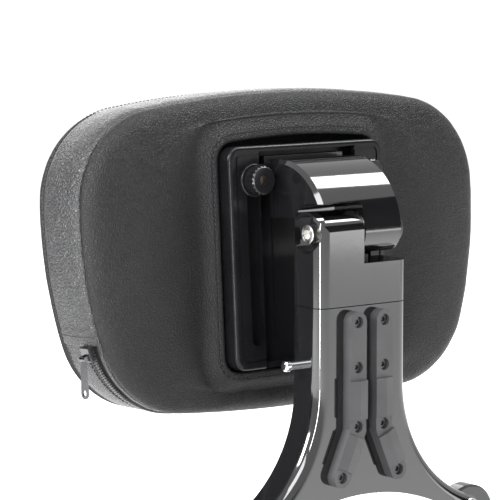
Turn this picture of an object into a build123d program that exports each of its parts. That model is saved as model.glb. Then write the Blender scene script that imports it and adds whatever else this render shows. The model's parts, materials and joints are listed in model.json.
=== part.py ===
"""Adjustable padded backrest on a wishbone mount, in millimetres.

+X is to the right as seen from behind, +Y is forward (the side that is leaned on), +Z is up.
The origin is the centre of the four mounting holes, on the front face of the hub plates.
The pad and the hinge head are drawn in the pad's own frame, which leans forward by pad_tilt
about the hinge axis. In that frame a depth is measured forward from the hinge axis.
"""

import os
from math import atan2, cos, degrees, radians, sin, sqrt

from build123d import *

os.makedirs("parts", exist_ok=True)

# ---------------------------------------------------------------- driving dimensions
seat_gap = 0.3            # clearance between pieces that may move past each other
fit_gap = 0.05            # radial clearance of a running or screwed-in round fit
cut_through = 1.0         # how far a cutting shape runs past the face it opens

# side hubs and the arm's depth
hub_plate_thick = 12.0
hub_radius = 23.0
hub_x = 120.0
hub_drop = 210.0          # middle of the side plates' round top below the hinge axis
hub_foot = 28.0           # lower edge of the hub plate below the origin
mount_hole_radius = 4.25
mount_spacing_z = 30.0
arm_depth = 29.2
arm_width = 75.0
arm_rear_round = 8.7
arm_front_chamfer = 3.0
pivot_z = 240.0
pivot_y = -(hub_plate_thick + arm_depth / 2)

# hinge
pivot_bolt_radius = 5.0
pivot_head_radius = 6.15
pivot_head_depth = 5.0
pivot_recess_radius = 12.6
pivot_recess_depth = 6.0
knuckle_radius = 14.6
shield_height = 11.3      # top of the left knuckle's shield above the hinge axis
shield_fillet = 9.8
knuckle_gap = 1.3
bush_wall = 1.5
cap_radius = 10.0
cap_proud = 3.4
shelf_drop = 20.0
shield_corner = 8.0
boss_width = 6.5
post_drop = 47.5
parting_groove = 0.6
stop_block_width = 8.0
stop_block_depth = 14.0
cap_bore_depth = 2.2
cap_round = 1.5
pivot_head_round = 0.8
washer_radius = 13.0
draw_bolt_radius = 5.0
draw_bolt_head_radius = 8.0
draw_bolt_head_height = 10.0
draw_bolt_grip = 26.0     # length of the draw bolt inside the post
dowel_radius = 4.0
dowel_x = 24.0
dowel_length = 24.0
hex_key_large = 3.4       # across corners, halved
hex_key_small = 1.9

# hinge head
head_width = 66.0
head_chamfer = 2.6
hood_radius = 48.0
head_underside = 10.0     # above the hinge axis, in the pad's frame
head_clearance_radius = 19.2
head_step_z = 28.0        # below this the head stops short of the slide frame
pad_tilt = 3.7

# wishbone
flare_start = 100.0       # below the hinge axis
flare_radius = 92.0
arch_drop = 172.4
arch_radius = 155.0
leg_end_x = 94.0
lug_thick = 9.0
lug_slope = 20.0
lug_length = 18.0
lug_nose_radius = 8.2
lug_root = 6.0            # how far the lug reaches back into the leg
lug_drop = 193.5
lug_bolt_along = 17.0
lug_bolt_radius = 4.0
lug_bolt_head_radius = 6.6
lug_bolt_head_height = 4.4
lug_bolt_head_round = 1.8
dock_post_radius = 4.5
dock_post_proud = 2.0
dock_post_round = 1.2
hub_foot_round = 6.0
hub_edge_chamfer = 1.5

# stems
stem_radius = 4.75
stem_x = 17.3
stem_seat = 35.0
stem_length_below = 62.0
stem_tip_chamfer = 1.2

# rear rails
rail_width = 13.5
rail_proud = 7.3
rail_x = 11.0
rail_hole_radius = 3.75
rail_hole_depth = 5.0
rail_screw_radius = 2.0
rail_screw_head_radius = 3.4
rail_screw_head_height = 2.6
rail_screw_grip = 9.0     # into the wishbone
rail_screw_length = 10.0
rail_hole_drops = (56.8, 86.4, 125.3, 157.5)
rail_kink_drop = 128.0
rail_foot_x = 23.8
gable_height = 2.6
gable_eaves = 1.0
gable_half = 7.3
gable_spans = ((95.0, 120.6), (131.6, 153.0))

# side stud
stud_radius = 2.85
stud_proud = 12.7
stud_head_radius = 3.6
stud_head_length = 4.0
stud_head_round = 1.6
stud_seat = 12.0
stud_drop = 85.5
stud_forward = 6.6        # ahead of the hinge axis

# slide frame on the back of the pad
frame_width = 130.0
frame_height = 147.0
frame_corner = 9.0
frame_centre_z = -16.0    # in the pad's frame
frame_depth = 42.7        # rear face, in the pad's frame
frame_wall = 4.0
frame_edge_round = 2.4
rim_width = 5.0
rim_groove_width = 1.6
rim_groove_depth = 0.8
slot_opening_width = 81.0
opening_top_margin = 3.5
clamp_slot_width = 10.4
knob_x = 46.2
knob_z = 35.0             # in the pad's frame, pad at its lowest
slide_travel = 104.0
floor_groove_width = 1.4
floor_groove_depth = 0.8
floor_groove_x = 25.0
floor_margin = 14.0
frame_screw_radius = 2.5
frame_screw_length = 14.0
frame_screw_x = 45.0
frame_screw_z = 55.0
frame_screw_head_radius = 4.5
frame_screw_head_height = 2.4

# carriage that rides in the slide frame
carriage_thick = 5.0
wing_height = 20.0
wing_width = 112.0
carriage_top = 50.0
carriage_round = 2.0
clamp_stud_radius = 3.0
clamp_stud_flange_radius = 5.0
clamp_stud_flange_thick = 2.2
head_screw_radius = 2.0
head_screw_head_radius = 3.8
head_screw_grip = 10.0
head_screw_z = 38.5
head_screw_spacing = 16.0

# clamp knobs
knob_flange_radius = 10.8
knob_flange_thick = 2.2
knob_radius = 9.4
knob_length = 10.2
knob_neck_depth = 0.9
knob_neck_length = 1.4
knob_edge_round = 0.7
knob_end_chamfer = 1.0
knob_flutes = 20
knob_flute_radius = 0.7
knob_bore_radius = 3.6
insert_radius = 4.6
insert_length = 6.0

# pad
pad_width = 330.0
pad_height = 213.0
pad_centre_z = -13.8      # in the pad's frame
back_seam_depth = 70.1    # in the pad's frame
boxing_depth = 45.0
upper_corner_inset = 6.5
lower_corner_inset = 29.0
side_middle_inset = 1.9   # the sides are widest above their middle
top_sagitta = 16.0
bottom_sagitta = 9.0
upper_corner_radius = 62.0
lower_corner_radius = 66.0
cover_thick = 1.4
rear_puff = 13.0
front_crown = 9.0
puff_inset = 16.0
front_inset = 12.0
back_board_thick = 6.0
pad_opening_gap = 2.5     # leather lip round the slide frame

# zipper in the lower boxing
zip_start_z = -52.0       # below the pad's centre
zip_from_seam = 11.0
zip_tape_width = 15.0
zip_tape_thick = 0.6
zip_teeth_width = 4.6
zip_teeth_thick = 1.1
slider_length = 10.0
slider_width = 9.0
slider_thick = 3.2
slider_corner = 0.8
pull_length = 26.0
pull_width = 7.8
pull_top_half = 2.7
pull_thick = 1.2
pull_neck = 2.6           # narrow part of the pull, below its pin
pull_hole_radius = 2.1
pull_pin_drop = 7.0       # pin below the slider's upper end
pull_pin_radius = 0.9
pull_eye_radius = 1.7
pull_eye_width = 3.0
pull_cheek_thick = 1.2

# ---------------------------------------------------------------- places worked out from them
arm_half = arm_width / 2
arm_front_y = pivot_y + arm_depth / 2
post_bottom_z = pivot_z - post_drop
shelf_z = pivot_z - shelf_drop
hub_centre_z = pivot_z - hub_drop
frame_top_z = frame_centre_z + frame_height / 2
opening_top_z = frame_top_z - opening_top_margin
clamp_slot_top = knob_z + clamp_slot_width / 2
clamp_slot_bottom = knob_z - slide_travel - clamp_slot_width / 2
carriage_depth = frame_depth + frame_wall + seat_gap
carriage_bottom = knob_z - wing_height / 2
floor_depth = carriage_depth + carriage_thick + seat_gap
board_front_depth = back_seam_depth + back_board_thick
front_seam_depth = back_seam_depth + boxing_depth
knob_depth = frame_depth - seat_gap
hood_centre_depth = hood_radius - knuckle_radius
bush_radius = pivot_bolt_radius + bush_wall
stem_top_z = pivot_z - arch_drop + stem_seat
stem_bottom_z = pivot_z - arch_drop - stem_length_below
upper_corner_x = pad_width / 2 - upper_corner_inset
lower_corner_x = pad_width / 2 - lower_corner_inset
side_middle_x = pad_width / 2 - side_middle_inset
rear_panel_depth = back_seam_depth - rear_puff
crown_depth = front_seam_depth + front_crown
zip_depth = back_seam_depth + zip_from_seam

lean = radians(pad_tilt)
pad_forward = Vector(0, cos(lean), -sin(lean))
pad_up = Vector(0, sin(lean), cos(lean))
pivot = Vector(0, pivot_y, pivot_z)

# seen from behind: x to the right, y up the pad, z towards the viewer
pad_face = Plane(origin=pivot, x_dir=(1, 0, 0), z_dir=-pad_forward)
# seen from the right: x forward, y up, z to the right
pad_side = Plane(origin=pivot, x_dir=pad_forward, z_dir=(1, 0, 0))
arm_side = Plane(origin=pivot, x_dir=(0, 1, 0), z_dir=(1, 0, 0))
arm_face = Plane(origin=pivot, x_dir=(1, 0, 0), z_dir=(0, -1, 0))
arm_plan = Plane(origin=(0, pivot_y, 0), x_dir=(1, 0, 0), z_dir=(0, 0, 1))
pad_axis = Axis(origin=(0, 0, 0), direction=pad_forward)


def at_depth(depth):
    """The pad's face plane, moved forward by a depth."""
    return pad_face.offset(-depth)


def at_arm_depth(forward):
    """The arm's face plane, moved forward of the hinge axis."""
    return arm_face.offset(-forward)


def save(part, name):
    """Label a finished piece and write its STEP file."""
    part.label = name
    export_step(part, f"parts/{name}.step")


def arm_section():
    """Plan section of the arm, with large round rear corners and small front chamfers."""
    with BuildSketch() as section:
        Rectangle(arm_width, arm_depth)
        fillet(vertices().group_by(Axis.Y)[0], arm_rear_round)
        chamfer(vertices().group_by(Axis.Y)[-1], arm_front_chamfer)
    return section.sketch


def pad_outline(grow=0.0):
    """Outline of the pad: four shallow arcs, narrower below, with large corners."""
    top = pad_height / 2 - top_sagitta
    bottom = -pad_height / 2 + bottom_sagitta
    middle = (top + bottom) / 2
    high = upper_corner_x
    low = lower_corner_x
    with BuildSketch() as outline:
        with BuildLine():
            ThreePointArc((-high, top), (0, pad_height / 2), (high, top))
            ThreePointArc((high, top), (side_middle_x, middle), (low, bottom))
            ThreePointArc((low, bottom), (0, -pad_height / 2), (-low, bottom))
            ThreePointArc((-low, bottom), (-side_middle_x, middle), (-high, top))
        make_face()
        fillet(vertices().filter_by(lambda v: v.Y < 0), lower_corner_radius)
        fillet(vertices().filter_by(lambda v: abs(v.Y - top) < 0.01), upper_corner_radius)
        if grow:
            offset(amount=grow, kind=Kind.ARC, mode=Mode.REPLACE)
    # every stretch is an arc, so it is drawn again as a plain one
    with BuildSketch() as redrawn:
        with BuildLine():
            for edge in outline.sketch.edges():
                ThreePointArc(edge @ 0, edge @ 0.5, edge @ 1)
        make_face()
    return redrawn.sketch


def frame_outline(grow=0.0):
    """Outline of the slide frame, or of the opening that it stands in."""
    with BuildSketch() as outline:
        width = frame_width + 2 * grow
        height = frame_height + 2 * grow
        RectangleRounded(width, height, frame_corner + grow)
    return outline.sketch


def rail_centre(side, drop):
    """Sideways place of a rail's middle at a drop below the hinge axis."""
    if drop <= rail_kink_drop:
        return side * rail_x
    slope = (rail_foot_x - rail_x) / (rail_hole_drops[-1] - rail_kink_drop)
    return side * (rail_x + slope * (drop - rail_kink_drop))


def rail_point(side, drop):
    """Point on a rail's rear face, in the middle of its width."""
    y = pivot_y - arm_depth / 2 - rail_proud
    return Vector(rail_centre(side, drop), y, pivot_z - drop)


def pad_plane(depth):
    """Plane of the pad's outline at a depth, centred on the pad, facing the rear."""
    centre = pivot + pad_forward * depth + pad_up * pad_centre_z
    return Plane(origin=centre, x_dir=(1, 0, 0), z_dir=-pad_forward)


def frame_plane(depth):
    """Plane at a depth, centred on the slide frame, facing the rear."""
    centre = pivot + pad_forward * depth + pad_up * frame_centre_z
    return Plane(origin=centre, x_dir=(1, 0, 0), z_dir=-pad_forward)


# ---------------------------------------------------------------- arm: post block
with BuildPart() as knuckle_boss:
    with BuildSketch(arm_plan.offset(pivot_z - knuckle_radius)):
        add(arm_section())
    extrude(amount=2 * knuckle_radius)
    with BuildSketch(arm_side.offset(-arm_half)):
        Circle(knuckle_radius)
    extrude(amount=boss_width, mode=Mode.INTERSECT)

with BuildPart() as post_block:
    with BuildSketch(arm_plan.offset(post_bottom_z)):
        add(arm_section())
    extrude(amount=post_drop + shield_height)
    # shield on the left, shelf on the right
    with BuildSketch(at_arm_depth(-arm_depth)):
        with BuildLine():
            Polyline(
                (-arm_width, -2 * post_drop),
                (arm_width, -2 * post_drop),
                (arm_width, -shelf_drop),
                (-knuckle_gap / 2, -shelf_drop),
                (-knuckle_gap / 2, shield_height),
                (-arm_width, shield_height),
                close=True,
            )
        make_face()
        fillet(vertices().group_by(Axis.Y)[-1].sort_by(Axis.X)[-1], shield_corner)
    extrude(amount=-2 * arm_depth, mode=Mode.INTERSECT)
    # the shield's top is rounded front and back
    with BuildSketch(arm_side.offset(-arm_width)):
        with Locations((0, shield_height - post_drop)):
            Rectangle(arm_depth, 2 * post_drop)
        fillet(vertices().group_by(Axis.Y)[-1], shield_fillet)
    extrude(amount=2 * arm_width, mode=Mode.INTERSECT)
    chamfer(faces().sort_by(Axis.Z)[0].edges(), parting_groove)
    add(knuckle_boss.part)
    with BuildSketch(arm_side.offset(-arm_half)):
        Circle(pivot_recess_radius)
    extrude(amount=pivot_recess_depth, mode=Mode.SUBTRACT)
    with BuildSketch(arm_side.offset(-arm_half)):
        Circle(pivot_bolt_radius + fit_gap)
    extrude(amount=arm_half, mode=Mode.SUBTRACT)
    with BuildSketch(arm_plan.offset(post_bottom_z)):
        Circle(draw_bolt_radius + fit_gap)
    extrude(amount=draw_bolt_grip + cut_through, mode=Mode.SUBTRACT)
    with BuildSketch(arm_plan.offset(post_bottom_z)):
        with GridLocations(2 * dowel_x, 0, 2, 1):
            Circle(dowel_radius + fit_gap)
    extrude(amount=dowel_length / 2 + cut_through, mode=Mode.SUBTRACT)
save(post_block.part, "post_block")

with BuildPart() as tilt_stop:
    with BuildSketch(arm_plan.offset(shelf_z)):
        with Locations((stop_block_width / 2 + knuckle_gap, 0)):
            RectangleRounded(stop_block_width, stop_block_depth, 1.0)
    extrude(amount=shelf_drop - knuckle_radius - 2 * seat_gap)
save(tilt_stop.part, "tilt_stop")

# ---------------------------------------------------------------- arm: wishbone
lug_plane = Plane(
    origin=(leg_end_x, arm_front_y, pivot_z - lug_drop),
    x_dir=(cos(radians(lug_slope)), 0, -sin(radians(lug_slope))),
    z_dir=(0, -1, 0),
)
lug_bolt_at = lug_plane.from_local_coords(Vector(lug_bolt_along, 0, 0))
dock_post_at = lug_plane.from_local_coords(
    Vector(lug_length + lug_nose_radius + dock_post_radius + seat_gap, 0, 0)
)
leg_outer_z = -flare_start - sqrt(flare_radius**2 - (arm_half + flare_radius - leg_end_x) ** 2)
leg_inner_z = -arch_drop - arch_radius + sqrt(arch_radius**2 - leg_end_x**2)
flare_middle = radians(35)
flare_middle_x = arm_half + flare_radius * (1 - cos(flare_middle))
flare_middle_z = -flare_start - flare_radius * sin(flare_middle)

with BuildPart() as lug:
    with BuildSketch(lug_plane):
        with Locations(((lug_length - lug_root) / 2, 0)):
            Rectangle(lug_length + lug_root, 2 * lug_nose_radius)
        with Locations((lug_length, 0)):
            Circle(lug_nose_radius)
    extrude(amount=lug_thick)

with BuildPart() as wishbone:
    with BuildSketch(at_arm_depth(arm_depth / 2)):
        with BuildLine():
            Line((-arm_half, -post_drop), (arm_half, -post_drop))
            Line((arm_half, -post_drop), (arm_half, -flare_start))
            ThreePointArc(
                (arm_half, -flare_start),
                (flare_middle_x, flare_middle_z),
                (leg_end_x, leg_outer_z),
            )
            Line((leg_end_x, leg_outer_z), (leg_end_x, leg_inner_z))
            ThreePointArc(
                (leg_end_x, leg_inner_z), (0, -arch_drop), (-leg_end_x, leg_inner_z)
            )
            Line((-leg_end_x, leg_inner_z), (-leg_end_x, leg_outer_z))
            ThreePointArc(
                (-leg_end_x, leg_outer_z),
                (-flare_middle_x, flare_middle_z),
                (-arm_half, -flare_start),
            )
            Line((-arm_half, -flare_start), (-arm_half, -post_drop))
        make_face()
    extrude(amount=arm_depth)
    rear_edges = faces().sort_by(Axis.Y)[0].edges()
    front_edges = faces().sort_by(Axis.Y)[-1].edges()
    outer_z = pivot_z + leg_outer_z - 1
    rear_rim = rear_edges.filter_by(lambda e: e.center().Z > outer_z and abs(e.center().X) > 1)
    front_rim = front_edges.filter_by(lambda e: e.center().Z > outer_z and abs(e.center().X) > 1)
    fillet(rear_rim, arm_rear_round)
    chamfer(front_rim, arm_front_chamfer)
    add(lug.part)
    mirror(lug.part, about=Plane.YZ)
    for side in (-1, 1):
        with BuildSketch(at_arm_depth(arm_depth / 2)):
            with Locations((side * lug_bolt_at.X, lug_bolt_at.Z - pivot_z)):
                Circle(lug_bolt_radius + fit_gap)
        extrude(amount=lug_thick, mode=Mode.SUBTRACT)
    with BuildSketch(arm_plan.offset(post_bottom_z)):
        Circle(draw_bolt_radius + fit_gap)
    extrude(amount=-arch_drop, mode=Mode.SUBTRACT)
    with BuildSketch(arm_plan.offset(pivot_z - arch_drop)):
        Circle(draw_bolt_head_radius + seat_gap)
    extrude(amount=draw_bolt_head_height, mode=Mode.SUBTRACT)
    with BuildSketch(arm_plan.offset(post_bottom_z)):
        with GridLocations(2 * dowel_x, 0, 2, 1):
            Circle(dowel_radius + fit_gap)
    extrude(amount=-dowel_length / 2 - cut_through, mode=Mode.SUBTRACT)
    with BuildSketch(arm_plan.offset(stem_top_z)):
        with GridLocations(2 * stem_x, 0, 2, 1):
            Circle(stem_radius + fit_gap)
    extrude(amount=-2 * stem_seat, mode=Mode.SUBTRACT)
    with BuildSketch(at_arm_depth(-arm_depth / 2)):
        for side in (-1, 1):
            for drop in rail_hole_drops:
                with Locations((rail_centre(side, drop), -drop)):
                    Circle(rail_screw_radius + fit_gap)
    extrude(amount=-rail_screw_length, mode=Mode.SUBTRACT)
    with BuildSketch(arm_side.offset(-arm_half)):
        with Locations((stud_forward, -stud_drop)):
            Circle(stud_radius + fit_gap)
    extrude(amount=stud_seat, mode=Mode.SUBTRACT)
save(wishbone.part, "wishbone")

with BuildPart() as draw_bolt:
    with BuildSketch(arm_plan.offset(pivot_z - arch_drop)):
        Circle(draw_bolt_head_radius)
    extrude(amount=draw_bolt_head_height)
    with BuildSketch(arm_plan.offset(pivot_z - arch_drop)):
        RegularPolygon(hex_key_large, 6)
    extrude(amount=draw_bolt_head_height / 2, mode=Mode.SUBTRACT)
    with BuildSketch(arm_plan.offset(pivot_z - arch_drop + draw_bolt_head_height)):
        Circle(draw_bolt_radius)
    extrude(amount=arch_drop - draw_bolt_head_height - post_drop + draw_bolt_grip)
save(draw_bolt.part, "draw_bolt")

with BuildPart() as dowels:
    with BuildSketch(arm_plan.offset(post_bottom_z - dowel_length / 2)):
        with GridLocations(2 * dowel_x, 0, 2, 1):
            Circle(dowel_radius)
    extrude(amount=dowel_length)
save(dowels.part, "post_dowels")

# ---------------------------------------------------------------- arm: stems, stud, rails
for side, name in ((-1, "left"), (1, "right")):
    with BuildPart() as stem:
        with BuildSketch(arm_plan.offset(stem_bottom_z)):
            with Locations((side * stem_x, 0)):
                Circle(stem_radius)
        extrude(amount=stem_top_z - stem_bottom_z - cut_through)
        chamfer(faces().sort_by(Axis.Z)[0].edges(), stem_tip_chamfer)
    save(stem.part, f"stem_{name}")

with BuildPart() as side_stud:
    with BuildSketch(arm_side.offset(-arm_half - stud_proud)):
        with Locations((stud_forward, -stud_drop)):
            Circle(stud_radius)
    extrude(amount=stud_proud + stud_seat - cut_through)
    with BuildSketch(arm_side.offset(-arm_half - stud_proud)):
        with Locations((stud_forward, -stud_drop)):
            Circle(stud_head_radius)
    extrude(amount=stud_head_length)
    fillet(faces().sort_by(Axis.X)[0].edges(), stud_head_round)
save(side_stud.part, "side_stud")

for side, name in ((-1, "left"), (1, "right")):
    kink = Vector(side * rail_x, -rail_kink_drop)
    foot = Vector(side * rail_foot_x, -rail_hole_drops[-1])
    straight = rail_kink_drop - rail_hole_drops[0]
    with BuildPart() as rail:
        with BuildSketch(at_arm_depth(-arm_depth / 2)):
            with Locations((side * rail_x, -(rail_hole_drops[0] + rail_kink_drop) / 2)):
                SlotCenterToCenter(straight, rail_width, rotation=90)
            with Locations((kink + foot) / 2):
                leg_angle = degrees(atan2(foot.Y - kink.Y, foot.X - kink.X))
                SlotCenterToCenter((foot - kink).length, rail_width, rotation=leg_angle)
        extrude(amount=rail_proud)
        for start, end in gable_spans:
            start_point = rail_point(side, start)
            run = rail_point(side, end) - start_point
            gable_plane = Plane(origin=start_point, x_dir=(-run.Z, 0, run.X), z_dir=run)
            with BuildSketch(gable_plane):
                with BuildLine():
                    Polyline(
                        (-gable_half, -cut_through),
                        (gable_half, -cut_through),
                        (gable_half, gable_eaves),
                        (0, gable_height),
                        (-gable_half, gable_eaves),
                        close=True,
                    )
                make_face()
            extrude(amount=run.length)
        with BuildSketch(at_arm_depth(-arm_depth / 2 - rail_proud)):
            for drop in rail_hole_drops:
                with Locations((rail_centre(side, drop), -drop)):
                    Circle(rail_hole_radius)
        extrude(amount=-rail_hole_depth, mode=Mode.SUBTRACT)
        with BuildSketch(at_arm_depth(-arm_depth / 2)):
            for drop in rail_hole_drops:
                with Locations((rail_centre(side, drop), -drop)):
                    Circle(rail_screw_radius + fit_gap)
        extrude(amount=rail_proud, mode=Mode.SUBTRACT)
    save(rail.part, f"rail_{name}")

with BuildPart() as rail_screws:
    for side in (-1, 1):
        for drop in rail_hole_drops:
            place = (rail_centre(side, drop), -drop)
            head_seat = -arm_depth / 2 - rail_proud + rail_hole_depth
            with BuildSketch(at_arm_depth(head_seat)):
                with Locations(place):
                    Circle(rail_screw_head_radius)
            extrude(amount=rail_screw_head_height)
            with BuildSketch(at_arm_depth(head_seat - rail_screw_head_height)):
                with Locations(place):
                    RegularPolygon(hex_key_small, 6)
            extrude(amount=-rail_screw_head_height / 2, mode=Mode.SUBTRACT)
            with BuildSketch(at_arm_depth(head_seat)):
                with Locations(place):
                    Circle(rail_screw_radius)
            extrude(amount=-(rail_proud - rail_hole_depth + rail_screw_grip))
save(rail_screws.part, "rail_screws")

# ---------------------------------------------------------------- arm: hubs at the leg ends
for side, name in ((-1, "left"), (1, "right")):
    hub_face = Plane(origin=(side * hub_x, 0, 0), x_dir=(1, 0, 0), z_dir=(0, -1, 0))
    with BuildPart() as hub_plate:
        with BuildSketch(hub_face):
            with Locations((0, hub_centre_z)):
                Circle(hub_radius)
            with Locations((0, (hub_centre_z - hub_foot) / 2)):
                Rectangle(2 * hub_radius, hub_centre_z + hub_foot)
            fillet(vertices().group_by(Axis.Y)[0], hub_foot_round)
        extrude(amount=hub_plate_thick)
        chamfer(faces().sort_by(Axis.Y)[0].edges(), hub_edge_chamfer)
        with BuildSketch(hub_face):
            with GridLocations(0, mount_spacing_z, 1, 2):
                Circle(mount_hole_radius)
            with Locations((side * (lug_bolt_at.X - hub_x), lug_bolt_at.Z)):
                Circle(lug_bolt_radius + fit_gap)
            with Locations((side * (dock_post_at.X - hub_x), dock_post_at.Z)):
                Circle(dock_post_radius + fit_gap)
        extrude(amount=hub_plate_thick, mode=Mode.SUBTRACT)
    save(hub_plate.part, f"hub_plate_{name}")

hub_rear = Plane(origin=(0, -hub_plate_thick, 0), x_dir=(1, 0, 0), z_dir=(0, -1, 0))
lug_rear = hub_rear.offset(lug_thick)

with BuildPart() as lug_bolts:
    for side in (-1, 1):
        with BuildSketch(lug_rear):
            with Locations((side * lug_bolt_at.X, lug_bolt_at.Z)):
                Circle(lug_bolt_head_radius)
        extrude(amount=lug_bolt_head_height)
        with BuildSketch(lug_rear):
            with Locations((side * lug_bolt_at.X, lug_bolt_at.Z)):
                Circle(lug_bolt_radius)
        extrude(amount=-(lug_thick + hub_plate_thick - 1))
    fillet(faces().group_by(Axis.Y)[0].edges(), lug_bolt_head_round)
    for side in (-1, 1):
        with BuildSketch(lug_rear.offset(lug_bolt_head_height)):
            with Locations((side * lug_bolt_at.X, lug_bolt_at.Z)):
                RegularPolygon(hex_key_small, 6)
        extrude(amount=-lug_bolt_head_height / 2, mode=Mode.SUBTRACT)
save(lug_bolts.part, "lug_bolts")

with BuildPart() as dock_posts:
    for side in (-1, 1):
        with BuildSketch(hub_rear.offset(lug_thick + dock_post_proud)):
            with Locations((side * dock_post_at.X, dock_post_at.Z)):
                Circle(dock_post_radius)
        extrude(amount=-(lug_thick + dock_post_proud + hub_plate_thick - 1))
    fillet(faces().group_by(Axis.Y)[0].edges(), dock_post_round)
save(dock_posts.part, "dock_posts")

# ---------------------------------------------------------------- hinge
with BuildPart() as pivot_bolt:
    with BuildSketch(arm_side.offset(-arm_half + pivot_recess_depth)):
        Circle(pivot_head_radius)
    extrude(amount=-pivot_head_depth)
    fillet(faces().sort_by(Axis.X)[0].edges(), pivot_head_round)
    with BuildSketch(arm_side.offset(-arm_half + pivot_recess_depth - pivot_head_depth)):
        RegularPolygon(hex_key_large, 6)
    extrude(amount=pivot_head_depth / 2, mode=Mode.SUBTRACT)
    with BuildSketch(arm_side.offset(-arm_half + pivot_recess_depth)):
        Circle(pivot_bolt_radius)
    extrude(amount=arm_half - pivot_recess_depth + head_width / 2 + seat_gap + cap_bore_depth)
save(pivot_bolt.part, "pivot_bolt")

with BuildPart() as cap_nut:
    with BuildSketch(arm_side.offset(head_width / 2 + seat_gap)):
        Circle(cap_radius)
    extrude(amount=cap_proud)
    fillet(faces().sort_by(Axis.X)[-1].edges(), cap_round)
    with BuildSketch(arm_side.offset(head_width / 2 + seat_gap)):
        Circle(pivot_bolt_radius + fit_gap)
    extrude(amount=cap_bore_depth + fit_gap, mode=Mode.SUBTRACT)
save(cap_nut.part, "cap_nut")

with BuildPart() as thrust_washer:
    with BuildSketch(arm_side.offset(-knuckle_gap / 2)):
        Circle(washer_radius)
        Circle(pivot_bolt_radius + fit_gap, mode=Mode.SUBTRACT)
    extrude(amount=knuckle_gap - seat_gap - fit_gap)
save(thrust_washer.part, "thrust_washer")

with BuildPart() as hinge_bush:
    with BuildSketch(pad_side.offset(knuckle_gap / 2)):
        Circle(bush_radius)
        Circle(pivot_bolt_radius + fit_gap, mode=Mode.SUBTRACT)
    extrude(amount=(head_width - knuckle_gap) / 2)
save(hinge_bush.part, "hinge_bush")

with BuildPart() as head_knuckle:
    with BuildSketch(pad_side.offset(-head_width / 2)):
        Circle(knuckle_radius)
    extrude(amount=head_width)
    chamfer(edges().filter_by(GeomType.CIRCLE), head_chamfer)

with BuildPart() as hinge_head:
    hood_middle = radians(45)
    with BuildSketch(pad_side.offset(-head_width / 2)):
        with BuildLine():
            ThreePointArc(
                (-knuckle_radius, 0),
                (
                    hood_centre_depth - hood_radius * cos(hood_middle),
                    hood_radius * sin(hood_middle),
                ),
                (hood_centre_depth, hood_radius),
            )
            Polyline(
                (hood_centre_depth, hood_radius),
                (carriage_depth, hood_radius),
                (carriage_depth, head_step_z),
                (knob_depth, head_step_z),
                (knob_depth, head_underside),
                (0, head_underside),
                (0, 0),
                (-knuckle_radius, 0),
            )
        make_face()
    extrude(amount=head_width)
    hood_edges = edges().filter_by(GeomType.CIRCLE)
    chamfer(hood_edges, head_chamfer)
    add(head_knuckle.part)
    # room for the post's knuckle on the left
    with BuildSketch(pad_side.offset(knuckle_gap / 2)):
        Circle(head_clearance_radius)
        with Locations((-hood_radius / 2, head_clearance_radius - hood_radius / 2)):
            Rectangle(hood_radius, hood_radius)
    extrude(amount=-head_width, mode=Mode.SUBTRACT)
    with BuildSketch(pad_side):
        Circle(bush_radius + fit_gap)
    extrude(amount=head_width, mode=Mode.SUBTRACT)
    with BuildSketch(at_depth(carriage_depth)):
        with Locations((0, head_screw_z)):
            with GridLocations(head_screw_spacing, 0, 4, 1):
                Circle(head_screw_radius + fit_gap)
    extrude(amount=head_screw_grip + cut_through, mode=Mode.SUBTRACT)
save(hinge_head.part, "hinge_head")

# ---------------------------------------------------------------- carriage and clamps
with BuildPart() as carriage_plate:
    with BuildSketch(at_depth(carriage_depth)):
        with Locations((0, knob_z)):
            RectangleRounded(wing_width, wing_height, carriage_round)
        with Locations((0, (carriage_top + carriage_bottom) / 2)):
            Rectangle(head_width, carriage_top - carriage_bottom)
    extrude(amount=-carriage_thick)
    with BuildSketch(at_depth(carriage_depth)):
        with Locations((0, knob_z)):
            with GridLocations(2 * knob_x, 0, 2, 1):
                Circle(clamp_stud_radius + fit_gap)
        with Locations((0, head_screw_z)):
            with GridLocations(head_screw_spacing, 0, 4, 1):
                Circle(head_screw_radius + fit_gap)
    extrude(amount=-carriage_thick, mode=Mode.SUBTRACT)
    with BuildSketch(at_depth(carriage_depth + carriage_thick)):
        with Locations((0, knob_z)):
            with GridLocations(2 * knob_x, 0, 2, 1):
                Circle(clamp_stud_flange_radius + fit_gap)
        with Locations((0, head_screw_z)):
            with GridLocations(head_screw_spacing, 0, 4, 1):
                Circle(head_screw_head_radius + fit_gap)
    extrude(amount=clamp_stud_flange_thick + fit_gap, mode=Mode.SUBTRACT)
save(carriage_plate.part, "carriage_plate")

with BuildPart() as head_screws:
    with BuildSketch(at_depth(carriage_depth + carriage_thick)):
        with Locations((0, head_screw_z)):
            with GridLocations(head_screw_spacing, 0, 4, 1):
                Circle(head_screw_head_radius)
    extrude(amount=clamp_stud_flange_thick)
    with BuildSketch(at_depth(carriage_depth + carriage_thick)):
        with Locations((0, head_screw_z)):
            with GridLocations(head_screw_spacing, 0, 4, 1):
                Circle(head_screw_radius)
    extrude(amount=carriage_thick + head_screw_grip)
save(head_screws.part, "head_screws")

with BuildPart() as clamp_studs:
    with BuildSketch(at_depth(carriage_depth + carriage_thick)):
        with Locations((0, knob_z)):
            with GridLocations(2 * knob_x, 0, 2, 1):
                Circle(clamp_stud_flange_radius)
    extrude(amount=clamp_stud_flange_thick)
    with BuildSketch(at_depth(carriage_depth + carriage_thick)):
        with Locations((0, knob_z)):
            with GridLocations(2 * knob_x, 0, 2, 1):
                Circle(clamp_stud_radius)
    extrude(amount=carriage_depth + carriage_thick - knob_depth + insert_length)
save(clamp_studs.part, "clamp_studs")

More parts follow.
